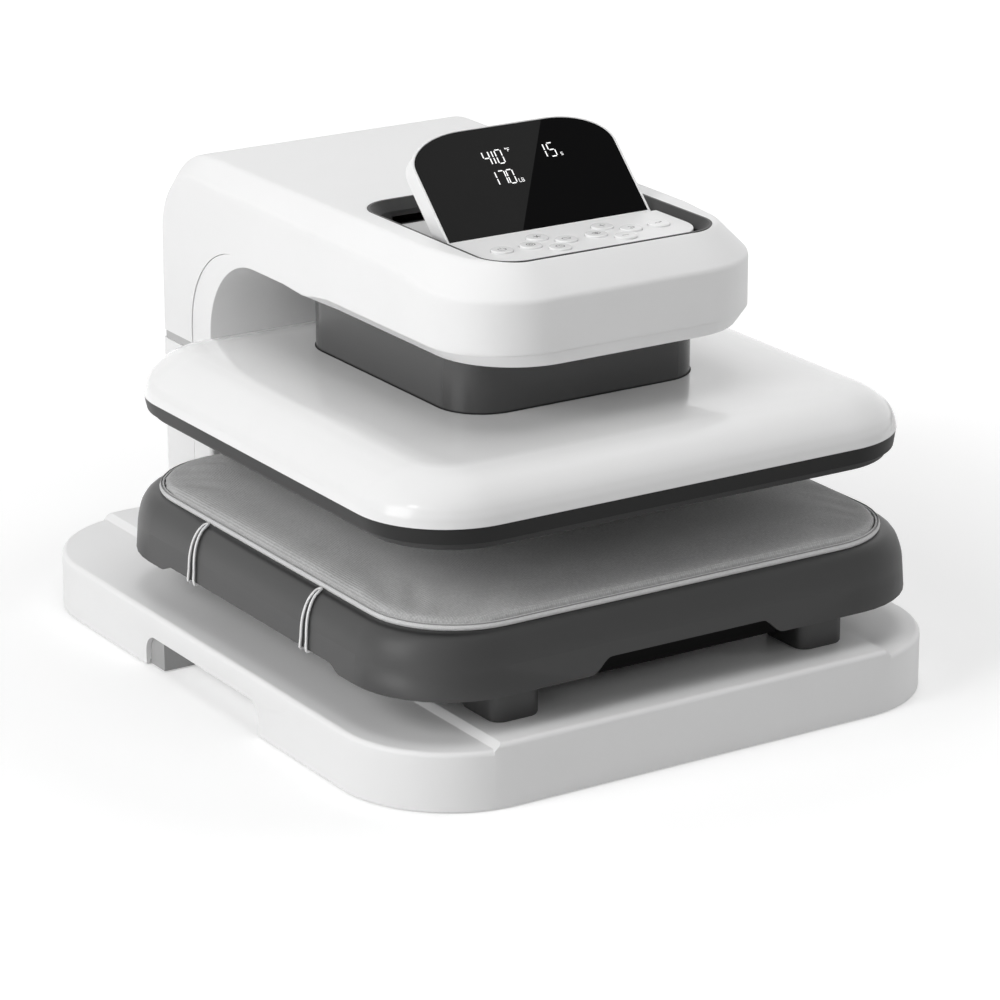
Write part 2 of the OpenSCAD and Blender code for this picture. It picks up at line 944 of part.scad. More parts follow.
// Tray casing with a finger pull in front and a slot along each side.
module tray_body() {
    color(grey)
        translate([0, press_y, 0])
            difference() {
                tray_form(0);
                tray_form(wall);
                translate([0, -tray_d / 2, tray_z])
                    rotate([90, 0, 0])
                        translate([0, 0, -20])
                            linear_extrude(40)
                                ogee(pull_l, pull_turn, pull_h);
                for (s = [-1, 1])
                    translate([s * tray_w / 2, 0, tray_z])
                        rotate([90, 0, 90])
                            translate([0, 0, -20])
                                linear_extrude(40)
                                    ogee(slot_l, slot_turn, slot_h);
            }
}

// Stiff floor inside the tray.
module tray_floor() {
    color(grey)
        translate([0, press_y, 0]) {
            block(tray_w - 2 * floor_in, tray_d - 2 * floor_in, tray_r - floor_in, floor_z, floor_z + wall);
            for (x = [-110, 0, 110])
                for (y = [-100, 100])
                    translate([x, y, 0])
                        bar(16, floor_z, tray_top - wall - 0.02);
        }
}

// Four glide feet of the tray.
module tray_feet() {
    color(grey)
        for (x = [-1, 1])
            for (y = [-1, 1])
                translate([x * foot_x, press_y + y * (tray_d / 2 - foot_in), 0]) {
                    block(foot_w - 2 * foot_cut, foot_d - 2 * foot_cut, foot_r - foot_cut,
                          deck_h, deck_h + 1);
                    block(foot_w, foot_d, foot_r, deck_h + 1, floor_z);
                }
}

// Cushion of the press with a gentle crown.
module pad() {
    color([0.45, 0.45, 0.45])
        translate([0, press_y, 0])
            slabs(pad_w, pad_w, 62, [
                [tray_top, 2.2],
                [tray_top + 1.4, 0.3],
                [tray_top + 3, 0],
                [tray_top + 5, 0.4],
                [tray_top + 0.8 * pad_t, 2.6],
                [tray_top + 0.95 * pad_t, 6.5],
                [tray_top + pad_t, 12],
                [tray_top + pad_t + 0.6 * pad_crown, 45],
                [tray_top + pad_t + pad_crown - 0.1, 110]
            ]);
}

// Point of the rounded tray edge at an angle from its top, g off it: out of the side, height, facing.
function brow(a, g) = let (n = unit([sin(a) / tray_edge, cos(a) / tray_brow])) [
    g * n[0] - tray_draft - tray_edge * (1 - sin(a)),
    g * n[1] + tray_top - tray_brow * (1 - cos(a)),
    atan2(n[1], n[0])
];

// Lean of the tray side at a height.
function lean(z) = -tray_draft * (z - tray_z) / (tray_top - tray_brow - tray_z);

// Route of an elastic loop seen from the front: out of the tray side, height, facing.
function loop_side(g) = let (k = g * sin(45), o = lean(slot_z)) concat(
    [for (a = [12, 25, 38, 52, 66, 80]) brow(a, g)],
    [
        [lean(slot_z + 6) + g, slot_z + 6, 0],
        [lean(slot_z + 0.6) + g, slot_z + 0.6, 0],
        [o + k, slot_z - k, -45],
        [o - wall / 2, slot_z - g, -90],
        [o - wall - k, slot_z - k, -135],
        [o - wall - g, slot_z + 0.6, -180],
        [lean(floor_z) - wall - g, floor_z - 0.3, -180]
    ]
);

// Half spread of the two strands along that route.
function loop_spread(i) = 1.4 + 2.8 * min(i, 8) / 8;

function unit(v) = v / norm(v);

// Whole route of a loop: up one strand, round its bend and down the other.
function loop_path(s, y) = let (g = cord_d / 2 + 0.3, side = loop_side(g), n = len(side)) concat(
    [for (i = [n - 1:-1:0]) [s * (tray_w / 2 + side[i][0]), y - loop_spread(i), side[i][1]]],
    [[s * (tray_w / 2 + brow(6, g)[0]), y, brow(6, g)[1]]],
    [for (i = [0:n - 1]) [s * (tray_w / 2 + side[i][0]), y + loop_spread(i), side[i][1]]]
);

function loop_facing(s) = let (side = loop_side(1), n = len(side)) concat(
    [for (i = [n - 1:-1:0]) [s * cos(side[i][2]), 0, sin(side[i][2])]],
    [[s * cos(brow(6, 1)[2]), 0, sin(brow(6, 1)[2])]],
    [for (i = [0:n - 1]) [s * cos(side[i][2]), 0, sin(side[i][2])]]
);

// Round cord along a path on a surface.
module cord_along(path, facing, r) {
    n = len(path);
    k = 8;
    rings = [for (i = [0:n - 1])
        let (
            t = unit(path[min(i + 1, n - 1)] - path[max(i - 1, 0)]),
            b = unit(cross(t, facing[i])),
            m = cross(b, t)
        )
        for (j = [0:k - 1]) path[i] + r * (cos(360 * j / k) * m + sin(360 * j / k) * b)];
    sides = [for (i = [0:n - 2]) for (j = [0:k - 1])
        [i * k + j, i * k + (j + 1) % k, (i + 1) * k + (j + 1) % k, (i + 1) * k + j]];
    ends = [[for (j = [k - 1:-1:0]) j], [for (j = [0:k - 1]) (n - 1) * k + j]];
    polyhedron(rings, concat(sides, ends), convexity = 8);
}

module elastic(s, e) {
    color([0.9, 0.9, 0.9])
        cord_along(loop_path(s, press_y + e * loop_y), loop_facing(s), cord_d / 2);
}

module elastic_left_front() {
    elastic(-1, -1);
}

module elastic_left_rear() {
    elastic(-1, 1);
}

module elastic_right_front() {
    elastic(1, -1);
}

module elastic_right_rear() {
    elastic(1, 1);
}

// Dark sleeve that runs up into the head, notched behind for the beam.
module shroud() {
    color(grey)
        translate([0, shroud_y, 0])
            difference() {
                block(shroud_w, shroud_d, shroud_r, shroud_z, shroud_top);
                block(shroud_w - 2 * shroud_t, shroud_d - 2 * shroud_t, shroud_r - shroud_t, 0, 400);
                span([-56, shroud_d / 2 - 40, cross_z - 2], [56, shroud_d, 400]);
            }
}

module dome_slab(s, g) {
    translate([0, press_y, cover_z + s[0] * dome_h - (s[0] > 0 ? g : 1)])
        linear_extrude(0.02)
            rr(cover_w - 2 * s[1] - 2 * g, cover_d - 2 * s[1] - 2 * g, max(cover_r - 1.1 * s[1] - g, 10), 48);
}

module dome_form(g) {
    hull()
        for (s = DOME)
            dome_slab(s, g);
    hull() {
        translate([0, shroud_y, shroud_z - 0.02 - g])
            linear_extrude(0.02)
                rr(shroud_w + 16, shroud_d + 16, shroud_r + 8, 48);
        dome_slab(DOME[len(DOME) - 1], g);
    }
}

// Domed cover of the platen.
module platen_cover() {
    color(white)
        difference() {
            intersection() {
                dome_form(0);
                span([-300, -400, cover_z], [300, 400, 400]);
            }
            dome_form(wall);
            translate([0, shroud_y, 0])
                block(shroud_w - 12, shroud_d - 12, shroud_r - 6, 0, 400);
        }
}

// Dark band between the heated plate and the cover.
module platen_band() {
    color(dark)
        translate([0, press_y, 0])
            difference() {
                hull() {
                    translate([0, 0, band_z])
                        linear_extrude(0.1)
                            rr(plate_w + 10.4, plate_w + 7.2, plate_r + 4);
                    translate([0, 0, cover_z - 0.1])
                        linear_extrude(0.1)
                            rr(cover_w - 0.6, cover_d - 0.6, cover_r - 0.3);
                }
                block(plate_w - 8, plate_w - 8, plate_r - 4, band_z - 1, cover_z + 1);
            }
}

// Heated plate with a raised middle and a groove under the band.
module heat_plate() {
    color([0.2, 0.2, 0.2])
        translate([0, press_y, 0]) {
            block(plate_w, plate_w, plate_r, plate_z, band_z - 0.8);
            block(plate_w - 4, plate_w - 4, plate_r - 2, plate_z + 1, band_z);
            block(plate_w - 16, plate_w - 16, plate_r - 8, plate_z + 2, heat_top);
        }
}

// Serpentine heater cast on the plate.
module heating_element() {
    color([0.4, 0.25, 0.2])
        translate([0, press_y, heat_top + heater_d / 2]) {
            for (x = [-3, -1, 1, 3])
                translate([x * heater_x, 0, 0])
                    rotate([90, 0, 0])
                        bar(heater_d, -heater_l / 2, heater_l / 2, 32);
            for (x = [-2, 2])
                translate([x * heater_x, heater_l / 2, 0])
                    rotate_extrude(angle = 180, $fn = 64)
                        translate([heater_x, 0])
                            circle(heater_d / 2, $fn = 32);
            translate([0, -heater_l / 2, 0])
                rotate([0, 0, 180])
                    rotate_extrude(angle = 180, $fn = 64)
                        translate([heater_x, 0])
                            circle(heater_d / 2, $fn = 32);
        }
}

function standoff_places() = [for (x = [-1, 1]) for (y = [-1, 1]) [x * post_x, shroud_y + y * post_y, 0]];

// Blanket over the heater.
module insulation() {
    color([0.85, 0.82, 0.7])
        difference() {
            translate([0, press_y, 0])
                block(blanket_w, blanket_w, blanket_r, heat_top + heater_d, heat_top + heater_d + wall);
            for (p = standoff_places())
                translate(p)
                    bar(post_d + 6, 100, 300);
            translate([0, press_y, 0])
                block(2 * rod_x + 30, 2 * rod_y + 30, 14, 100, 300);
        }
}

// Posts between the heated plate and the carrier.
module standoffs() {
    color(steel)
        for (p = standoff_places())
            translate(p)
                bar(post_d, heat_top, carrier_z);
}

// Plate that carries the platen on the guides.
module carrier() {
    color(steel)
        difference() {
            translate([0, shroud_y, 0])
                block(carrier_w, carrier_d, 10, carrier_z, carrier_z + 6);
            rods_at(rod_d + 8.04, 0, 400);
            translate([0, press_y, 0])
                bar(26.04, 0, 400);
        }
}

// Flanged bushes that run on the rods.
module guide_bushes() {
    color(brass)
        difference() {
            union() {
                rods_at(rod_d + 8, carrier_z - 4, carrier_z + 22);
                rods_at(rod_d + 14, carrier_z + 6, carrier_z + 9);
            }
            rods_at(rod_d + 2 * run_fit, 0, 400);
        }
}

// Nut of the lead screw.
module lead_nut() {
    color(brass)
        translate([0, press_y, 0])
            difference() {
                union() {
                    bar(26, carrier_z - 8, carrier_z + 6);
                    bar(40, carrier_z + 6, carrier_z + 12);
                }
                bar(screw_d + 2 * run_fit, 0, 400);
            }
}

// Thermal cut-out on the heated plate.
module thermal_cutout() {
    color([0.8, 0.75, 0.6])
        translate([0, press_y + 30, 0]) {
            bar(16, heat_top, heat_top + 6);
            span([-12, -3, heat_top], [12, 3, heat_top + 2]);
        }
}

// Screw that drives the platen.
module lead_screw() {
    color(steel)
        translate([0, press_y, 0]) {
            bar(screw_d, rod_low, tub_under - 6);
            bar(screw_d + 8, cross_z - 6, cross_z - 1);
        }
}

// Outline of the screen from height low upward, set in by g at the sides and by t at the top.
module screen_plan(g, t, low) {
    w = screen_w / 2 - g;
    h = screen_h - t;
    polygon(concat(
        [[-w, low], [w, low]],
        [for (a = [0:6:90]) [w - (screen_rx - g) * (1 - cos(a)), h - (screen_ry - t) * (1 - sin(a))]],
        [for (a = [90:-6:0]) [(screen_rx - g) * (1 - cos(a)) - w, h - (screen_ry - t) * (1 - sin(a))]]
    ));
}

// Carries its child from the hinge line to the raised tilt.
module raised() {
    translate([0, hinge_y, hinge_z])
        rotate([screen_tilt, 0, 0])
            children();
}

// Screen housing with its hinge barrel and pins.
module screen_frame() {
    color(white)
        raised() {
            difference() {
                union() {
                    translate([0, 0, -screen_t / 2])
                        linear_extrude(screen_t)
                            screen_plan(0, 0, 0);
                    rotate([0, 90, 0])
                        bar(screen_t, -screen_w / 2, screen_w / 2, 64);
                }
                translate([0, 0, screen_t / 2 - 2])
                    linear_extrude(10)
                        screen_plan(screen_rim, 1.2, 1);
            }
            rotate([0, 90, 0])
                bar(4, -screen_w / 2 - 3.7, screen_w / 2 + 3.7, 48);
        }
}

// Glass of the screen.
module screen_glass() {
    color(dark)
        raised()
            translate([0, 0, screen_t / 2 - 2])
                linear_extrude(1.9)
                    screen_plan(screen_rim + 0.1, 1.3, 1.1);
}

base_shell();
base_plate();
rubber_feet();
steel_frame();
column_shell();
column_collar();
head_shell();
head_liner();
rear_cover();
cover_screws();
power_inlet();
switch_bezel();
rocker();
control_board();
guide_rods();
gearbox();
drive_motor();
console_tub();
button_panel();
key_board();
tray_rails();
tray_body();
tray_floor();
tray_feet();
tray_runners();
pad();
elastic_left_front();
elastic_left_rear();
elastic_right_front();
elastic_right_rear();
shroud();
platen_cover();
platen_band();
heat_plate();
heating_element();
insulation();
standoffs();
carrier();
guide_bushes();
lead_nut();
thermal_cutout();
lead_screw();
tray_skirt();
well_plate();
screen_frame();
screen_glass();
button(0);  // button_power
button(1);  // button_mode_left
button(2);  // button_mode_rear
button(3);  // button_mode_front
button(4);  // button_mode_right
button(5);  // button_set_left
button(6);  // button_set_rear
button(7);  // button_set_front
button(8);  // button_set_right
button(9);  // button_start
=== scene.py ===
import json
import math

import bmesh
import bpy
from mathutils import Matrix, Vector


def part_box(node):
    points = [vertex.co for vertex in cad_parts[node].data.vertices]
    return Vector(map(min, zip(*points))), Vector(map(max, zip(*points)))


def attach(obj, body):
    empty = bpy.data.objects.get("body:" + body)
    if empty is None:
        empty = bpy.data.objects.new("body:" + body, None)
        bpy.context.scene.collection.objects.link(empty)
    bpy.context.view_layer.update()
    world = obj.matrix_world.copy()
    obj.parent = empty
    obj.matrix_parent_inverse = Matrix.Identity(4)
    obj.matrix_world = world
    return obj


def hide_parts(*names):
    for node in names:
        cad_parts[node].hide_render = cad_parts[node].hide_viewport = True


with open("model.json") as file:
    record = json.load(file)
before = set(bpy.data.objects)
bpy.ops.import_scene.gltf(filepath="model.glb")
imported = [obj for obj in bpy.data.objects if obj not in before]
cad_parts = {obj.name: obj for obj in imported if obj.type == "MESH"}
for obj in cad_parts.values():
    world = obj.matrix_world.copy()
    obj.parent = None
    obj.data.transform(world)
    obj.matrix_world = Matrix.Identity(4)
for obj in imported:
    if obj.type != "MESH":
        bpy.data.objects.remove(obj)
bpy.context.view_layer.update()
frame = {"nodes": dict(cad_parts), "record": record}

MM = 0.001
SAME_SPOT = 4e-6


# Finishes

def new_finish(name):
    """A material with its shader and the object's own coordinates."""
    finish = bpy.data.materials.new(name)
    finish.use_nodes = True
    nodes = finish.node_tree.nodes
    place = nodes.new("ShaderNodeTexCoord")
    return finish, nodes, finish.node_tree.links, nodes["Principled BSDF"], place.outputs["Object"]


def grain(nodes, links, place, scale, detail):
    """Noise of so many grains to the metre."""
    noise = nodes.new("ShaderNodeTexNoise")
    noise.inputs["Scale"].default_value = scale
    noise.inputs["Detail"].default_value = detail
    links.new(place, noise.inputs["Vector"])
    return noise.outputs["Fac"]


def spread(nodes, links, value, low, high, start=0.0, end=1.0):
    """Maps a pattern from start to end onto low to high."""
    ramp = nodes.new("ShaderNodeMapRange")
    ramp.inputs["From Min"].default_value = start
    ramp.inputs["From Max"].default_value = end
    ramp.inputs["To Min"].default_value = low
    ramp.inputs["To Max"].default_value = high
    links.new(value, ramp.inputs["Value"])
    return ramp.outputs["Result"]


def two_tone(nodes, links, value, dark, light):
    """Colour between dark and light after a pattern."""
    mix = nodes.new("ShaderNodeMix")
    mix.data_type = "RGBA"
    mix.inputs[6].default_value = (*dark, 1)
    mix.inputs[7].default_value = (*light, 1)
    links.new(value, mix.inputs["Factor"])
    return mix.outputs[2]


def reckon(nodes, links, operation, first, second):
    """One sum on two values, each a number or another node's output."""
    step = nodes.new("ShaderNodeMath")
    step.operation = operation
    for socket, value in zip(step.inputs, (first, second)):
        if isinstance(value, float):
            socket.default_value = value
        else:
            links.new(value, socket)
    return step.outputs[0]


def raise_surface(nodes, links, shader, height, strength, distance):
    """Relief on a surface after a pattern."""
    bump = nodes.new("ShaderNodeBump")
    bump.inputs["Strength"].default_value = strength
    bump.inputs["Distance"].default_value = distance
    links.new(height, bump.inputs["Height"])
    links.new(bump.outputs["Normal"], shader.inputs["Normal"])


# Grains to the metre, and the depth of the fine grain in metres
CLOUDS, FINE_GRAIN, GRAIN_DEPTH = 18.0, 1400.0, 0.0002


def moulded(name, dark, light, rough, bump=0.05, coat=0.0, metal=0.0, shine=0.5, gloss=0.04):
    """Moulded plastic, paint or plain metal with a fine grain and slight cloudiness."""
    finish, nodes, links, shader, place = new_finish(name)
    cloud = grain(nodes, links, place, CLOUDS, 3.0)
    links.new(two_tone(nodes, links, cloud, dark, light), shader.inputs["Base Color"])
    fine = grain(nodes, links, place, FINE_GRAIN, 3.0)
    links.new(spread(nodes, links, cloud, rough[0], rough[1]), shader.inputs["Roughness"])
    raise_surface(nodes, links, shader, fine, bump, GRAIN_DEPTH)
    shader.inputs["Metallic"].default_value = metal
    shader.inputs["Specular IOR Level"].default_value = shine
    shader.inputs["Coat Weight"].default_value = coat
    shader.inputs["Coat Roughness"].default_value = gloss
    return finish


# The wave pattern's scale times its pitch in metres, then grains to the metre and a depth in metres
WAVE_OF_PITCH = 0.314
YARN, FADING, THREAD_DEPTH = 620.0, 30.0, 0.0004
WEAVE_SHARE, YARN_SHARE, FADING_SHARE = 0.25, 0.60, 0.25


def woven(name, dark, light, pitch, bump=0.35):
    """Plain weave: two crossed sets of threads with uneven yarn."""
    finish, nodes, links, shader, place = new_finish(name)
    threads = []
    for axis in ("X", "Y"):
        wave = nodes.new("ShaderNodeTexWave")
        wave.bands_direction = axis
        wave.inputs["Scale"].default_value = WAVE_OF_PITCH / pitch
        wave.inputs["Distortion"].default_value = 1.2
        wave.inputs["Detail"].default_value = 2.0
        wave.inputs["Detail Scale"].default_value = 2.0
        links.new(place, wave.inputs["Vector"])
        threads.append(wave.outputs["Fac"])
    weave = reckon(nodes, links, "MULTIPLY", threads[0], threads[1])
    yarn = grain(nodes, links, place, YARN, 3.0)
    cloud = grain(nodes, links, place, FADING, 5.0)
    uneven = reckon(nodes, links, "ADD", spread(nodes, links, yarn, 0.0, YARN_SHARE),
                    spread(nodes, links, cloud, 0.0, FADING_SHARE))
    shade = reckon(nodes, links, "ADD", reckon(nodes, links, "MULTIPLY", weave, WEAVE_SHARE), uneven)
    links.new(two_tone(nodes, links, shade, dark, light), shader.inputs["Base Color"])
    links.new(spread(nodes, links, yarn, 0.77, 0.93), shader.inputs["Roughness"])
    shader.inputs["Sheen Weight"].default_value = 0.2
    shader.inputs["Sheen Roughness"].default_value = 0.5
    raise_surface(nodes, links, shader, reckon(nodes, links, "ADD", weave, yarn), bump, THREAD_DEPTH)
    return finish


MACHINING_MARKS = 2600.0


def turned(name, dark, light, rough):
    """Bright metal with fine machining marks."""
    finish, nodes, links, shader, place = new_finish(name)
    marks = nodes.new("ShaderNodeTexWave")
    marks.bands_direction = "Z"
    marks.inputs["Scale"].default_value = MACHINING_MARKS / 6.283
    marks.inputs["Distortion"].default_value = 2.0
    links.new(place, marks.inputs["Vector"])
    cloud = grain(nodes, links, place, 40.0, 4.0)
    links.new(two_tone(nodes, links, cloud, dark, light), shader.inputs["Base Color"])
    links.new(spread(nodes, links, marks.outputs["Fac"], rough[0], rough[1]), shader.inputs["Roughness"])
    raise_surface(nodes, links, shader, marks.outputs["Fac"], 0.04, 0.0001)
    shader.inputs["Metallic"].default_value = 1.0
    return finish


def grey(level):
    """A colour without a tint."""
    return (level, level, level)


casing_white = moulded("casing_white", grey(0.83), grey(0.86), (0.34, 0.42))
cover_white = moulded("cover_white", grey(0.78), grey(0.81), (0.20, 0.26), bump=0.004,
                      coat=1.0, gloss=0.015)
tray_grey = moulded("tray_grey", grey(0.022), grey(0.028), (0.36, 0.44), bump=0.06, shine=0.75)
shroud_grey = moulded("shroud_grey", grey(0.026), grey(0.032), (0.22, 0.28), bump=0.04, shine=0.7)
tub_grey = moulded("tub_grey", grey(0.024), grey(0.030), (0.40, 0.48), bump=0.08)
band_black = moulded("band_black", grey(0.006), grey(0.009), (0.38, 0.48), shine=0.35)
plate_coat = moulded("plate_coat", grey(0.016), grey(0.022), (0.30, 0.42), bump=0.12)
# The skirt is a real part under the tray; its near-black finish, darker than the tray's plastic, is painted
# shade for the dark space beneath the tray.
skirt_shade_black = moulded("skirt_shade_black", grey(0.003), grey(0.005), (0.5, 0.6), shine=0.1)
sole_grey = moulded("sole_grey", grey(0.34), grey(0.40), (0.45, 0.55), bump=0.08)
collar_grey = moulded("collar_grey", grey(0.44), grey(0.50), (0.4, 0.5))
inlet_black = moulded("inlet_black", grey(0.012), grey(0.016), (0.35, 0.45))
foot_rubber = moulded("foot_rubber", grey(0.014), grey(0.02), (0.7, 0.85), bump=0.3)
gasket_black = moulded("gasket_black", grey(0.006), grey(0.010), (0.6, 0.7), shine=0.2)
button_white = moulded("button_white", grey(0.84), grey(0.87), (0.22, 0.30), bump=0.02)
well_white = moulded("well_white", grey(0.70), grey(0.75), (0.40, 0.50))
steel_bright = turned("steel_bright", grey(0.52), grey(0.6), (0.20, 0.34))
brass_turned = turned("brass_turned", (0.62, 0.46, 0.18), (0.7, 0.53, 0.24), (0.2, 0.32))
steel_painted = moulded("steel_painted", grey(0.10), grey(0.13), (0.45, 0.55), bump=0.2)
board_green = moulded("board_green", (0.015, 0.09, 0.04), (0.02, 0.12, 0.05), (0.3, 0.4))
cast_grey = moulded("cast_grey", grey(0.26), grey(0.33), (0.45, 0.6), metal=0.8, bump=0.3)
heater_brown = moulded("heater_brown", (0.12, 0.07, 0.05), (0.2, 0.12, 0.08), (0.5, 0.6),
                       metal=0.6)
ceramic_cream = moulded("ceramic_cream", (0.6, 0.55, 0.42), (0.68, 0.62, 0.5), (0.12, 0.2))
icon_grey = moulded("icon_grey", grey(0.05), grey(0.08), (0.5, 0.6))
blanket_felt = woven("blanket_felt", (0.5, 0.46, 0.36), (0.7, 0.66, 0.54), 0.002)
pad_cloth = woven("pad_cloth", grey(0.28), grey(0.82), 0.0016, bump=0.6)
pad_binding = woven("pad_binding", grey(0.60), grey(0.80), 0.0008)
# A dark strand where the pad's binding meets its cover, painted shadow for the gap between them.
seam_gap_shade = woven("seam_gap_shade", grey(0.26), grey(0.36), 0.0008)
elastic_braid = woven("elastic_braid", grey(0.82), grey(0.94), 0.0007)


# Building helpers

def into_scene(name, mesh, finish):
    """An object of the mesh, with its finish."""
    piece = bpy.data.objects.new(name, mesh)
    bpy.context.scene.collection.objects.link(piece)
    mesh.materials.clear()
    mesh.materials.append(finish)
    return piece


def soften(mesh, angle=32):
    """Smooth faces, with creases kept where the surface turns sharply."""
    mesh.polygons.foreach_set("use_smooth", [True] * len(mesh.polygons))
    mesh.set_sharp_from_angle(angle=math.radians(angle))


def edge_rounding(piece, width, segments):
    """Rounds the edges where faces meet at 40 degrees or more."""
    bevel = piece.modifiers.new("edge", "BEVEL")
    bevel.width = width
    bevel.segments = segments
    bevel.limit_method = "ANGLE"
    bevel.angle_limit = math.radians(40)
    bevel.harden_normals = True


def body_holding(node):
    """The moving body that a CAD node belongs to."""
    for body, held in frame["record"]["behaviour"]["bodies"].items():
        if node in held:
            return body


def merged_copy(node):
    """A copy of a CAD node's faces, joined at their shared corners."""
    work = bmesh.new()
    work.from_mesh(frame["nodes"][node].data)
    bmesh.ops.remove_doubles(work, verts=work.verts, dist=SAME_SPOT)
    return work


def stands_for(piece, *nodes):
    """The piece moves with and replaces these CAD nodes."""
    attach(piece, body_holding(nodes[0]))
    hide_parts(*nodes)


def dressed(node, finish, width, segments=3):
    """A copy of a CAD node with merged faces, rounded edges and its finish."""
    work = merged_copy(node)
    bmesh.ops.dissolve_limit(work, angle_limit=math.radians(0.4), verts=work.verts, edges=work.edges)
    mesh = bpy.data.meshes.new(node + "_form")
    work.to_mesh(mesh)
    work.free()
    piece = into_scene(node + "_form", mesh, finish)
    soften(mesh)
    edge_rounding(piece, width, segments)
    stands_for(piece, node)


def painted(node, finish):
    """The CAD node as it is, with its finish."""
    shape = frame["nodes"][node]
    shape.data.materials.clear()
    shape.data.materials.append(finish)


def worked_mesh(holder):
    """The mesh that an object's curve or modifiers make."""
    bpy.context.view_layer.update()
    return bpy.data.meshes.new_from_object(holder.evaluated_get(bpy.context.evaluated_depsgraph_get()))


def strands(name, routes, radius, finish, sides, closed=False, place=Matrix(), rounded=True):
    """Round strands along routes of points, as one mesh."""
    curve = bpy.data.curves.new(name, "CURVE")
    curve.dimensions = "3D"
    curve.bevel_depth = radius
    curve.bevel_resolution = sides
    curve.use_fill_caps = True
    curve.resolution_u = 6
    for route in routes:
        if rounded:
            line = curve.splines.new("BEZIER")
            line.bezier_points.add(len(route) - 1)
            for point, spot in zip(line.bezier_points, route):
                point.co = spot
                point.handle_left_type = point.handle_right_type = "AUTO"
        else:
            line = curve.splines.new("POLY")
            line.points.add(len(route) - 1)
            for point, spot in zip(line.points, route):
                point.co = (*spot, 1)
        line.use_cyclic_u = closed
    holder = bpy.data.objects.new(name, curve)
    bpy.context.scene.collection.objects.link(holder)
    mesh = worked_mesh(holder)
    bpy.data.objects.remove(holder)
    bpy.data.curves.remove(curve)
    mesh.transform(place)
    piece = into_scene(name, mesh, finish)
    soften(mesh, 50)
    return piece


# Casing and moving parts

for node, finish, width in (
    ("base_shell", casing_white, 0.0012),
    ("column_shell", casing_white, 0.0012),
    ("head_shell", casing_white, 0.0008),
    ("head_liner", casing_white, 0.0009),
    ("rear_cover", casing_white, 0.0004),
    ("console_tub", tub_grey, 0.0003),
    ("well_plate", well_white, 0.0002),
    ("button_panel", casing_white, 0.0006),
    ("shroud", shroud_grey, 0.0008),
    ("platen_band", band_black, 0.0008),
    ("heat_plate", plate_coat, 0.0010),
    ("tray_body", tray_grey, 0.0012),
    ("tray_feet", tray_grey, 0.0012),
    ("tray_skirt", skirt_shade_black, 0.0006),
    ("power_inlet", inlet_black, 0.0006),
    ("switch_bezel", inlet_black, 0.0006),
    ("rocker", inlet_black, 0.0006),
    ("screen_frame", casing_white, 0.0008),
    ("base_plate", sole_grey, 0.0005),
    ("column_collar", collar_grey, 0.0004),
):
    dressed(node, finish, width)

BUTTONS = [name for name in frame["nodes"] if name.startswith("button_") and name != "button_panel"]
for node in BUTTONS:
    dressed(node, button_white, 0.0008, 4)

for node, finish in (
    ("rubber_feet", foot_rubber),
    ("steel_frame", steel_painted),
    ("cover_screws", steel_bright),
    ("control_board", board_green),
    ("guide_rods", steel_bright),
    ("gearbox", cast_grey),
    ("drive_motor", cast_grey),
    ("key_board", board_green),
    ("tray_rails", steel_bright),
    ("tray_floor", tray_grey),
    ("tray_runners", inlet_black),
    ("heating_element", heater_brown),
    ("insulation", blanket_felt),
    ("standoffs", steel_bright),
    ("carrier", steel_bright),
    ("guide_bushes", brass_turned),
    ("lead_nut", brass_turned),
    ("thermal_cutout", ceramic_cream),
    ("lead_screw", steel_bright),
):
    painted(node, finish)


# Platen cover

def plan_ring(wide, deep, corner, height, centre, steps=12):
    """Points of a rounded rectangle of half sizes wide and deep at one height."""
    ring = []
    for quarter, (sx, sy) in enumerate(((1, 1), (-1, 1), (-1, -1), (1, -1))):
        for step in range(steps + 1):
            turn = math.radians(90 * quarter + 90 * step / steps)
            ring.append((sx * (wide - corner) + corner * math.cos(turn),
                         centre + sy * (deep - corner) + corner * math.sin(turn), height))
    return ring


def lofted(name, rings, finish):
    """A closed skin through rings of points, the last one joined to the first."""
    work = bmesh.new()
    loops = [[work.verts.new(spot) for spot in ring] for ring in rings]
    count = len(loops[0])
    for low, high in zip(loops, loops[1:] + loops[:1]):
        for k in range(count):
            work.faces.new((low[k], low[(k + 1) % count], high[(k + 1) % count], high[k]))
    bmesh.ops.recalc_face_normals(work, faces=work.faces)
    mesh = bpy.data.meshes.new(name)
    work.to_mesh(mesh)
    work.free()
    piece = into_scene(name, mesh, finish)
    soften(mesh, 50)
    return piece


# Share of the dome's height, and how far in from the rim its side stands there in mm
DOME = ((0.0, 0.0), (0.1, 0.7), (0.2, 1.4), (0.3, 2.7), (0.39, 4.2), (0.5, 7.1), (0.63, 11.8),
        (0.75, 17.7), (0.86, 26.1), (0.93, 36.5))
# Half sizes of the cover's rim, its corner, its foot and the dome's height, in mm
COVER_WIDE, COVER_DEEP, COVER_CORNER, COVER_Z, COVER_RISE = 199.8, 195.2, 63.8, 178.1, 30.5
# The corner's shrinking to each mm inward, and the shroud's corner, flat border and overlap
CORNER_LAW, SEAT_CORNER, SEAT_MARGIN, SEAT_LAP = 1.1, 32.4, 8.0, 6.0
PRESS_Y, COVER_WALL = -44.0, 3.0
COVER_STEPS = 20


def smooth_steps(points, parts):
    """Points between the given ones on a smooth curve through them."""
    line = []
    for k in range(len(points) - 1):
        before = Vector(points[max(k - 1, 0)])
        start, end = Vector(points[k]), Vector(points[k + 1])
        after = Vector(points[min(k + 2, len(points) - 1)])
        for part in range(parts):
            t = part / parts
            bend = 2 * before - 5 * start + 4 * end - after
            twist = 3 * start - before - 3 * end + after
            line.append(0.5 * (2 * start + (end - before) * t + bend * t * t + twist * t ** 3))
    return line + [Vector(points[-1])]


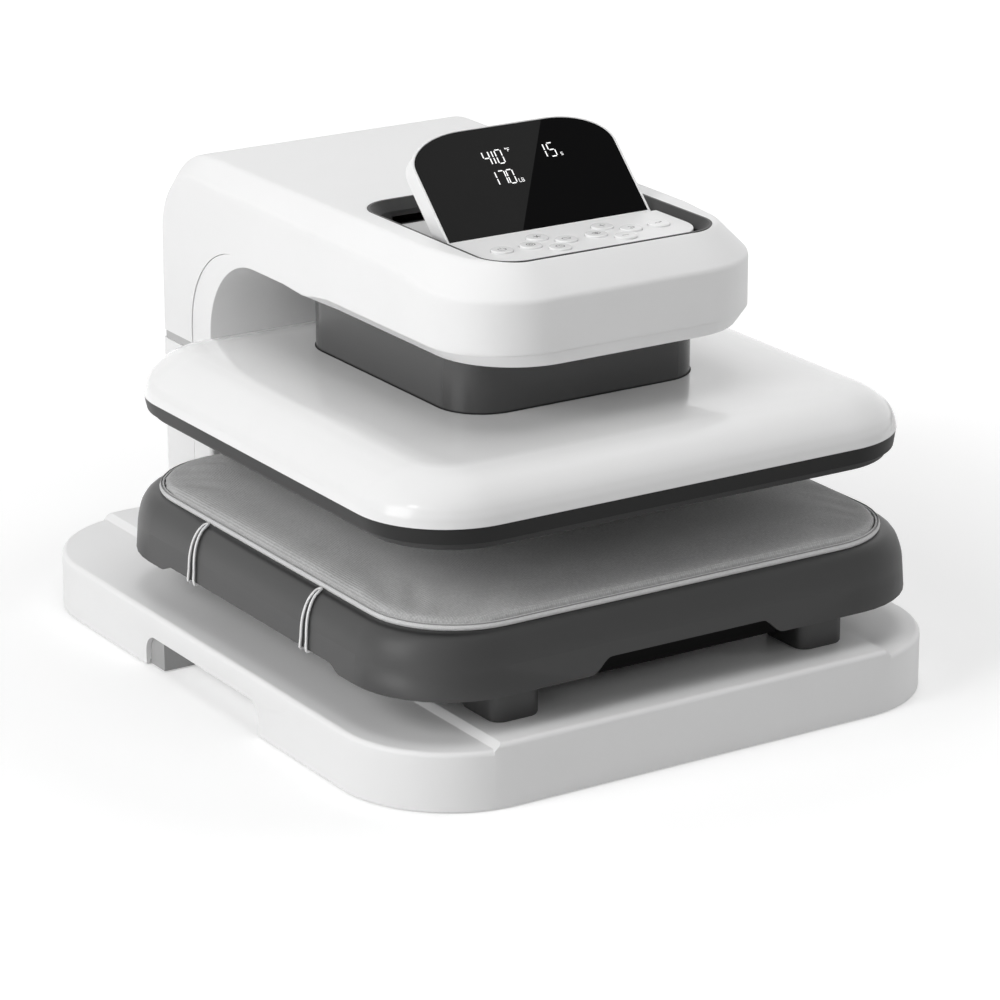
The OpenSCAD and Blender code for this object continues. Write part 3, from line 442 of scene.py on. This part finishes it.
def cover_ring(inset, height):
    """Ring of the cover's edge, moved in from the rim."""
    corner = max(COVER_CORNER - CORNER_LAW * inset, 10.0)
    return plan_ring((COVER_WIDE - inset) * MM, (COVER_DEEP - inset) * MM, corner * MM, height * MM,
                     PRESS_Y * MM, COVER_STEPS)


def crown_ring(share, drop):
    """Ring between the end of the curved edge and the flat seat of the shroud."""
    low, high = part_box("shroud")
    level, inset = DOME[-1]
    start = (COVER_WIDE - inset, COVER_DEEP - inset, COVER_CORNER - CORNER_LAW * inset, PRESS_Y)
    seat = ((high[0] - low[0]) / 2 / MM + SEAT_MARGIN, (high[1] - low[1]) / 2 / MM + SEAT_MARGIN,
            SEAT_CORNER + SEAT_MARGIN, (low[1] + high[1]) / 2 / MM)
    wide, deep, corner, centre = (a + (b - a) * share for a, b in zip(start, seat))
    height = COVER_Z + COVER_RISE * (1 - (1 - level) * (1 - share) ** 3) - drop
    return plan_ring(wide * MM, deep * MM, corner * MM, height * MM, centre * MM, COVER_STEPS)


def domed_cover():
    """Smooth shell of the platen's cover, open in the middle under the shroud."""
    low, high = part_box("shroud")
    centre = (low[1] + high[1]) / 2
    edge = smooth_steps(DOME, 4)
    rings = [cover_ring(COVER_WALL, COVER_Z), cover_ring(0.5, COVER_Z), cover_ring(0.12, COVER_Z + 0.12)]
    rings += [cover_ring(inset, COVER_Z + share * COVER_RISE) for share, inset in edge if share > 0.015]
    rings += [crown_ring(step / 14, 0.0) for step in range(1, 15)]
    for drop in (0.0, COVER_WALL):
        rings.append(plan_ring((high[0] - low[0]) / 2 - SEAT_LAP * MM, (high[1] - low[1]) / 2 - SEAT_LAP * MM,
                               (SEAT_CORNER - SEAT_LAP) * MM, (COVER_Z + COVER_RISE - drop) * MM, centre,
                               COVER_STEPS))
    rings += [crown_ring(step / 4, COVER_WALL) for step in range(4, 0, -1)]
    rings += [cover_ring(inset + COVER_WALL, COVER_Z + share * COVER_RISE - COVER_WALL)
              for share, inset in DOME[::-1] if share > 0.15]
    stands_for(lofted("platen_cover_shell", rings, cover_white), "platen_cover")


# Pad

# Out from the pad's edge and up from its foot, in mm
BINDING = ((-4, 0), (-0.9, 0), (-0.2, 0.9), (0, 1.9), (-0.3, 2.8), (-1.0, 3.4), (-3, 4.0))
# The cloth starts a little small and flat, and its puff has a limit, in metres
PAD_CORNER = 0.062
PAD_MARGIN, PAD_FLATTEN, PAD_CELL = 0.0016, 0.9, 0.0045
HELD_HEIGHT, PUFF_PRESSURE, PUFF_STEPS, PUFF_MOST = 0.0022, 4.0, 20, 0.0013
SEAM_INSET, SEAM_RISE, SEAM_RADIUS = 0.0012, 0.0038, 0.0004


def puffed_pad():
    """The pad's cover, blown up a little over its held underside."""
    low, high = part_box("pad")
    middle = (Vector(low) + Vector(high)) / 2
    work = merged_copy("pad")
    shrink = 1 - PAD_MARGIN / (high[0] - middle.x)
    bmesh.ops.scale(work, vec=(shrink, shrink, PAD_FLATTEN), verts=work.verts,
                    space=Matrix.Translation((-middle.x, -middle.y, -low[2])))
    mesh = bpy.data.meshes.new("pad_start")
    work.to_mesh(mesh)
    work.free()
    piece = into_scene("pad_cushion", mesh, pad_cloth)
    shell = piece.modifiers.new("even", "REMESH")
    shell.mode = "VOXEL"
    shell.voxel_size = PAD_CELL
    even = worked_mesh(piece)
    piece.modifiers.clear()
    piece.data = even
    start = [v.co.copy() for v in even.vertices]
    held = piece.vertex_groups.new(name="held")
    held.add([v.index for v in even.vertices if v.co.z < low[2] + HELD_HEIGHT], 1.0, "REPLACE")
    cloth = piece.modifiers.new("cover", "CLOTH")
    cloth.settings.quality = 5
    cloth.settings.use_pressure = True
    cloth.settings.uniform_pressure_force = PUFF_PRESSURE
    cloth.settings.vertex_group_mass = "held"
    cloth.settings.effector_weights.gravity = 0.0
    scene = bpy.context.scene
    for count in range(1, PUFF_STEPS + 1):
        scene.frame_set(count)
    blown = worked_mesh(piece)
    piece.modifiers.clear()
    scene.frame_set(1)
    for vertex, old in zip(blown.vertices, start):
        move = vertex.co - old
        if move.length > PUFF_MOST:
            move.length = PUFF_MOST
        spot = old + move
        spot.z = min(max(spot.z, low[2]), high[2])
        vertex.co = spot
    piece.data = blown
    piece.data.materials.clear()
    piece.data.materials.append(pad_cloth)
    soften(piece.data, 180)
    finer = piece.modifiers.new("finer", "SUBSURF")
    finer.levels = finer.render_levels = 1
    stands_for(piece, "pad")

    half = high[0] - middle.x

    def edge_ring(out, up):
        """Ring out from the pad's edge and up from its foot."""
        return plan_ring(half + out, half + out, PAD_CORNER + out, low[2] + up, middle.y)

    band = lofted("pad_binding", [edge_ring(out * MM, up * MM) for out, up in BINDING], pad_binding)
    # Painted shadow: a dark strand along the gap between the binding and the cover.
    seam_shade = strands("pad_seam_shade", [edge_ring(-SEAM_INSET, SEAM_RISE)], SEAM_RADIUS, seam_gap_shade, 3,
                   closed=True, rounded=False)
    for edge in (band, seam_shade):
        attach(edge, "tray")


# Elastic loops

# Sizes of the tray's side wall and of the cords on it, in mm
TRAY_SIDE, TRAY_EDGE, TRAY_BROW, TRAY_DRAFT = 206.0, 13.6, 26.0, 1.2
TRAY_TOP, TRAY_LOW, SLOT_Z, WALL, FLOOR_Z = 109.5, 68.6, 73.2, 3.0, 80.0
CORD = 0.9
GAP = CORD + 0.3
LOOP_FROM_MIDDLE, BEND_HALF, SPREAD_HALF, SPREAD_STEPS = 73.5, 1.4, 2.8, 8


def over_brow(turn):
    """Out from the tray's side and up, for a cord that lies on its rounded edge."""
    angle = math.radians(turn)
    across, upward = math.sin(angle) / TRAY_EDGE, math.cos(angle) / TRAY_BROW
    share = GAP / math.hypot(across, upward)
    return (share * across - TRAY_DRAFT - TRAY_EDGE * (1 - math.sin(angle)),
            share * upward + TRAY_TOP - TRAY_BROW * (1 - math.cos(angle)))


def lean(height):
    """How far the tray's drafted side stands in at a height."""
    return -TRAY_DRAFT * (height - TRAY_LOW) / (TRAY_TOP - TRAY_BROW - TRAY_LOW)


def loop_route(side, y):
    """Up one strand, round the bend under the pad's edge and down the other, in metres."""
    lift = GAP * math.sin(math.radians(45))
    edge = lean(SLOT_Z)
    strand = [over_brow(turn) for turn in (12, 25, 38, 52, 66, 80)]
    strand += [(lean(SLOT_Z + 6) + GAP, SLOT_Z + 6), (lean(SLOT_Z + 0.6) + GAP, SLOT_Z + 0.6),
               (edge + lift, SLOT_Z - lift), (edge - WALL / 2, SLOT_Z - GAP),
               (edge - WALL - lift, SLOT_Z - lift), (edge - WALL - GAP, SLOT_Z + 0.6),
               (lean(FLOOR_Z) - WALL - GAP, FLOOR_Z - 0.3)]
    top = over_brow(6)
    reach = [BEND_HALF + SPREAD_HALF * min(step, SPREAD_STEPS) / SPREAD_STEPS for step in range(len(strand))]
    route = [(out, -wide, height) for (out, height), wide in zip(strand, reach)][::-1]
    route.append((top[0], 0.0, top[1]))
    route += [(out, wide, height) for (out, height), wide in zip(strand, reach)]
    return [(side * (TRAY_SIDE + out) * MM, (y + along) * MM, height * MM) for out, along, height in route]


def elastic_loops():
    """The four cords that hold the pad's cover at the tray's sides."""
    for side, across in ((-1, "left"), (1, "right")):
        for end, along in ((-1, "front"), (1, "rear")):
            name = "elastic_%s_%s" % (across, along)
            route = loop_route(side, PRESS_Y + LOOP_FROM_MIDDLE * end)
            stands_for(strands(name + "_cord", [route], CORD * MM, elastic_braid, 3), name)


# Screen and buttons

TILT = math.radians(44)
HINGE = Vector((0, -0.0818, 0.306))
GLASS_FACE = 0.00615
UP_GLASS = Vector((0, math.cos(TILT), math.sin(TILT)))
OFF_GLASS = Vector((0, -math.sin(TILT), math.cos(TILT)))
GLASS_FOOT = HINGE + OFF_GLASS * GLASS_FACE
# The slanting edge of the painted reflection on the glass: its run to its rise, and its foot; then the
# printed signs in mm
SLANT, SLANT_X = 0.641, -0.0215
DIGIT_WIDE, DIGIT_TALL, FLAT_PRINT = 4.6, 10.3, 0.1
ICON_SCALE, ICON_LINE, ICON_RELIEF = 1.15, 0.26, 0.3


def display_glass():
    """Dark glass with a painted reflection: lighter left of one slanting line, darker right of it."""
    finish, nodes, links, shader, place = new_finish("display_glass")
    slant = nodes.new("ShaderNodeVectorMath")
    slant.operation = "DOT_PRODUCT"
    slant.inputs[1].default_value = (1.0, 0.0, -SLANT / math.sin(TILT))
    links.new(place, slant.inputs[0])
    line = SLANT_X - SLANT / math.sin(TILT) * GLASS_FOOT.z
    # Painted reflection: the glass is lighter left of the slanting line and darker right of it.
    glare_split = spread(nodes, links, slant.outputs["Value"], 0.0, 1.0, line - 0.0002, line + 0.0002)
    haze = grain(nodes, links, place, 14.0, 2.0)
    left = two_tone(nodes, links, haze, grey(0.018), grey(0.022))
    mix = nodes.new("ShaderNodeMix")
    mix.data_type = "RGBA"
    mix.inputs[7].default_value = (0.002, 0.002, 0.0022, 1)
    links.new(glare_split, mix.inputs["Factor"])
    links.new(left, mix.inputs[6])
    links.new(mix.outputs[2], shader.inputs["Base Color"])
    links.new(spread(nodes, links, haze, 0.03, 0.06), shader.inputs["Roughness"])
    shader.inputs["Specular IOR Level"].default_value = 0.05
    dressed("screen_glass", finish, 0.0002)


BARS = {
    "a": ((0.5, 1), (0.5, 1)), "d": ((0.5, 0), (0.5, 0)), "g": ((0.5, 0.5), (0.5, 0.5)),
    "b": ((1, 0.96), (1, 0.54)), "c": ((1, 0.46), (1, 0.04)),
    "e": ((0, 0.46), (0, 0.04)), "f": ((0, 0.96), (0, 0.54)),
}
LIT = {"0": "abcdef", "1": "bc", "4": "bcfg", "5": "acdfg", "7": "abc"}


def digit_bars(sign, x, foot):
    """Straight bars of one seven-bar digit."""
    bars = []
    for bar in LIT[sign]:
        (x0, y0), (x1, y1) = BARS[bar]
        if bar in "adg":
            x0, x1 = 0.14, 0.86
        bars.append([(x + x0 * DIGIT_WIDE, foot + y0 * DIGIT_TALL, 0),
                     (x + x1 * DIGIT_WIDE, foot + y1 * DIGIT_TALL, 0)])
    return bars


def readings():
    """Numbers and units that the display shows."""
    glow, nodes, links, shader, place = new_finish("digit_glow")
    spot = grain(nodes, links, place, 900.0, 2.0)
    links.new(two_tone(nodes, links, spot, grey(0.86), grey(0.92)), shader.inputs["Base Color"])
    links.new(two_tone(nodes, links, spot, grey(0.80), grey(0.90)), shader.inputs["Emission Color"])
    shader.inputs["Emission Strength"].default_value = 0.5
    bars = []
    for sign, x, foot in (("4", -24.7, 52.3), ("1", -22.0, 52.3), ("0", -15.0, 52.3), ("1", 17.4, 51.5),
                          ("5", 24.9, 51.5), ("1", -26.3, 36.6), ("7", -19.4, 36.6), ("0", -13.2, 36.6)):
        bars += digit_bars(sign, x, foot)
    units = [
        [(-4.9, 60.2, 0), (-4.9, 62.8, 0), (-3.2, 62.8, 0)], [(-4.9, 61.6, 0), (-3.5, 61.6, 0)],
        [(-6.2 + 0.45 * math.cos(k), 62.6 + 0.45 * math.sin(k), 0)
         for k in (0.0, 1.26, 2.51, 3.77, 5.03, 6.28)],
        [(34.0, 53.5, 0), (32.6, 53.5, 0), (32.6, 52.5, 0), (34.0, 52.5, 0), (34.0, 51.5, 0),
         (32.6, 51.5, 0)],
        [(-6.6, 39.4, 0), (-6.6, 36.6, 0), (-5.2, 36.6, 0)],
        [(-4.4, 36.6, 0), (-4.4, 39.4, 0), (-3.0, 39.1, 0), (-3.0, 38.2, 0), (-4.4, 38.0, 0), (-2.8, 37.7, 0),
         (-2.8, 36.8, 0), (-4.4, 36.6, 0)],
    ]
    face = Matrix((
        (MM, 0, 0, GLASS_FOOT.x),
        (0, UP_GLASS.y * MM, OFF_GLASS.y * MM * FLAT_PRINT, GLASS_FOOT.y),
        (0, UP_GLASS.z * MM, OFF_GLASS.z * MM * FLAT_PRINT, GLASS_FOOT.z),
        (0, 0, 0, 1)))
    for name, routes, radius in (("reading_digits", bars, 0.42), ("reading_units", units, 0.24)):
        piece = strands(name, routes, radius, glow, 1, place=face, rounded=False)
        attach(piece, "screen")


def arc(radius, start, end, x=0.0, y=0.0, steps=20):
    """Points round a centre from one angle to another."""
    turns = [math.radians(start + (end - start) * k / steps) for k in range(steps + 1)]
    return [(x + radius * math.cos(turn), y + radius * math.sin(turn), 0) for turn in turns]


ICONS = {
    "button_power": [arc(2.3, 130, 410), [(0, 0.6, 0), (0, 2.9, 0)]],
    "button_mode_left": [arc(2.4, 0, 360), arc(1.0, 0, 360, steps=12)],
    "button_mode_rear": [[(2.4 * math.cos(a), 2.4 * math.sin(a), 0),
                          (-2.4 * math.cos(a), -2.4 * math.sin(a), 0)] for a in (0.0, 1.047, 2.094)],
    "button_mode_front": [arc(2.4, 0, 360), [(0, 1.5, 0), (0, 0, 0), (1.1, -0.5, 0)]],
    "button_mode_right": [arc(1.5, -90, 90, 1.0) + arc(1.5, 90, 270, -1.0) + [(1.0, -1.5, 0)]],
    "button_set_left": [arc(3.2, 40, 140, 0, -1.6), arc(3.2, 220, 320, 0, 1.6),
                        arc(0.8, 0, 360, steps=12)],
    "button_set_rear": [[(-2.2, 0, 0), (2.2, 0, 0)], [(0, -2.2, 0), (0, 2.2, 0)]],
    "button_set_front": [[(-2.2, 0, 0), (2.2, 0, 0)]],
    "button_set_right": [arc(1.7, 150, -90) + [(-1.8, -1.7, 0)],
                         [(-0.6, -0.8, 0), (-1.8, -1.7, 0), (-0.6, -2.6, 0)]],
    "button_start": [[(-2.6, -0.6, 0), (-1.2, 0.7, 0), (0.2, -0.6, 0), (2.2, 1.2, 0)],
                     [(0.9, 1.4, 0), (2.2, 1.2, 0), (2.1, 0, 0)]],
}


def button_marks():
    """Icons printed on the buttons."""
    print_size = Matrix.Diagonal((ICON_SCALE * MM, ICON_SCALE * MM, ICON_RELIEF * MM, 1))
    for node, routes in ICONS.items():
        low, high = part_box(node)
        spot = Vector(((low[0] + high[0]) / 2, (low[1] + high[1]) / 2, high[2]))
        mark = strands(node + "_mark", routes, ICON_LINE, icon_grey, 1, rounded=False,
                       place=Matrix.Translation(spot) @ print_size)
        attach(mark, node)


def shroud_gasket():
    """Thin seal where the shroud stands on the platen cover."""
    low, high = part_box("shroud")
    ring = plan_ring((high[0] - low[0]) / 2, (high[1] - low[1]) / 2, SEAT_CORNER * MM, low[2],
                     (low[1] + high[1]) / 2)
    seal = strands("shroud_gasket", [ring], 0.8 * MM, gasket_black, 3, closed=True, rounded=False)
    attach(seal, body_holding("shroud"))


domed_cover()
puffed_pad()
elastic_loops()
shroud_gasket()
display_glass()
readings()
button_marks()


# Room, light and camera

DIM_SIDE = (0.6, 0.8)
FLOOR_HALF = 8.0
LAMP_AIM = (0, 0, 0.15)
VIEW_TURN, VIEW_RISE, VIEW_DISTANCE, LENS = -32.669, 18.875, 2.8517, 151.84
VIEW_MIDDLE, VIEW_RIGHT, VIEW_UP = (0, -0.0434, 0), -0.009703, 0.106497


def shown_behind(nodes, links, place, near, far, shade):
    """1 for what the camera or clear glass sees, 0 for light on surfaces, and for a reflection
    a level that falls from 1 to the shade towards the front and right, from near to far."""
    path = nodes.new("ShaderNodeLightPath")
    parts = nodes.new("ShaderNodeSeparateXYZ")
    links.new(place, parts.inputs[0])
    rightward = reckon(nodes, links, "MULTIPLY", parts.outputs["X"], DIM_SIDE[0])
    backward = reckon(nodes, links, "MULTIPLY", parts.outputs["Y"], DIM_SIDE[1])
    across = reckon(nodes, links, "SUBTRACT", rightward, backward)
    mirrored = reckon(nodes, links, "MULTIPLY", path.outputs["Is Glossy Ray"],
                      spread(nodes, links, across, 1.0, shade, near, far))
    seen = reckon(nodes, links, "MAXIMUM", path.outputs["Is Camera Ray"],
                  path.outputs["Is Transmission Ray"])
    return reckon(nodes, links, "MAXIMUM", seen, mirrored)


def floor_and_light():
    """A white floor that keeps the shadow, with painted shade that darkens it near the object, a white room
    and soft lamps.
    """
    work = bmesh.new()
    bmesh.ops.create_grid(work, x_segments=1, y_segments=1, size=FLOOR_HALF)
    mesh = bpy.data.meshes.new("floor")
    work.to_mesh(mesh)
    work.free()
    finish, nodes, links, shader, place = new_finish("floor_white")
    shader.inputs["Base Color"].default_value = (0.7, 0.7, 0.7, 1)
    shader.inputs["Roughness"].default_value = 0.8
    shader.inputs["Specular IOR Level"].default_value = 0.0
    shader.inputs["Emission Color"].default_value = (1, 1, 1, 1)
    seen = shown_behind(nodes, links, place, 0.0, 0.4, 0.1)
    reach = nodes.new("ShaderNodeVectorMath")
    reach.operation = "LENGTH"
    links.new(place, reach.inputs[0])
    # Painted shade: the floor's own glow is lower near the object, so the floor reads darker round it, rising
    # to white further off.
    shade_near_object = spread(nodes, links, reach.outputs["Value"], 0.38, 0.80, 0.35, 1.1)
    beyond = spread(nodes, links, reach.outputs["Value"], 0.0, 0.2, 1.1, 3.0)
    brightness = reckon(nodes, links, "ADD", shade_near_object, beyond)
    links.new(reckon(nodes, links, "MULTIPLY", seen, brightness), shader.inputs["Emission Strength"])
    into_scene("floor", mesh, finish)

    world = bpy.data.worlds.new("studio")
    bpy.context.scene.world = world
    world.use_nodes = True
    nodes, links = world.node_tree.nodes, world.node_tree.links
    backing = nodes["Background"]
    backing.inputs["Color"].default_value = (1, 1, 1, 1)
    way = nodes.new("ShaderNodeTexCoord")
    parts = nodes.new("ShaderNodeSeparateXYZ")
    links.new(way.outputs["Object"], parts.inputs[0])
    dome = spread(nodes, links, parts.outputs["Z"], 0.40, 0.0)
    seen = shown_behind(nodes, links, way.outputs["Object"], 0.0, 0.8, 0.35)
    level = nodes.new("ShaderNodeMix")
    links.new(seen, level.inputs["Factor"])
    links.new(dome, level.inputs["A"])
    level.inputs["B"].default_value = 1.0
    links.new(level.outputs["Result"], backing.inputs["Strength"])

    for name, place, size, power, mirrored in (
        ("left_key", (-2.4, -0.2, 1.4), 1.4, 34.5, False),
        ("left_panel", (-2.2, -0.2, 0.9), 1.2, 7.0, True),
        ("overhead", (0.05, -0.1, 2.4), 1.6, 22.0, False),
        ("right_panel", (2.2, -0.4, 1.1), 1.4, 14.0, False),
        ("front_fill", (0.3, -1.4, 0.9), 0.6, 2.0, False),
        ("glint", (-1.75, -0.45, 1.95), 0.4, 1.5, True),
    ):
        lamp = bpy.data.lights.new(name, "AREA")
        lamp.size = size
        lamp.energy = power
        holder = bpy.data.objects.new(name, lamp)
        holder.location = place
        holder.visible_glossy = mirrored
        aim = Vector(LAMP_AIM) - Vector(place)
        holder.rotation_euler = aim.to_track_quat("-Z", "Y").to_euler()
        bpy.context.scene.collection.objects.link(holder)


def set_camera():
    """The camera of the main view."""
    lens = bpy.data.cameras.new("camera")
    lens.sensor_width = 36.0
    lens.lens = LENS
    lens.clip_end = 60.0
    holder = bpy.data.objects.new("camera", lens)
    turn = math.radians(VIEW_TURN)
    rise = math.radians(VIEW_RISE)
    back = Vector((math.sin(turn) * math.cos(rise), -math.cos(turn) * math.cos(rise), math.sin(rise)))
    right = Vector((math.cos(turn), math.sin(turn), 0))
    up = back.cross(right)
    aim = Vector(VIEW_MIDDLE) + right * VIEW_RIGHT + up * VIEW_UP
    stand = aim + back * VIEW_DISTANCE
    holder.matrix_world = Matrix((
        (right.x, up.x, back.x, stand.x),
        (right.y, up.y, back.y, stand.y),
        (right.z, up.z, back.z, stand.z),
        (0, 0, 0, 1)))
    bpy.context.scene.collection.objects.link(holder)
    bpy.context.scene.camera = holder


floor_and_light()
set_camera()
bpy.context.scene.view_settings.view_transform = "Standard"
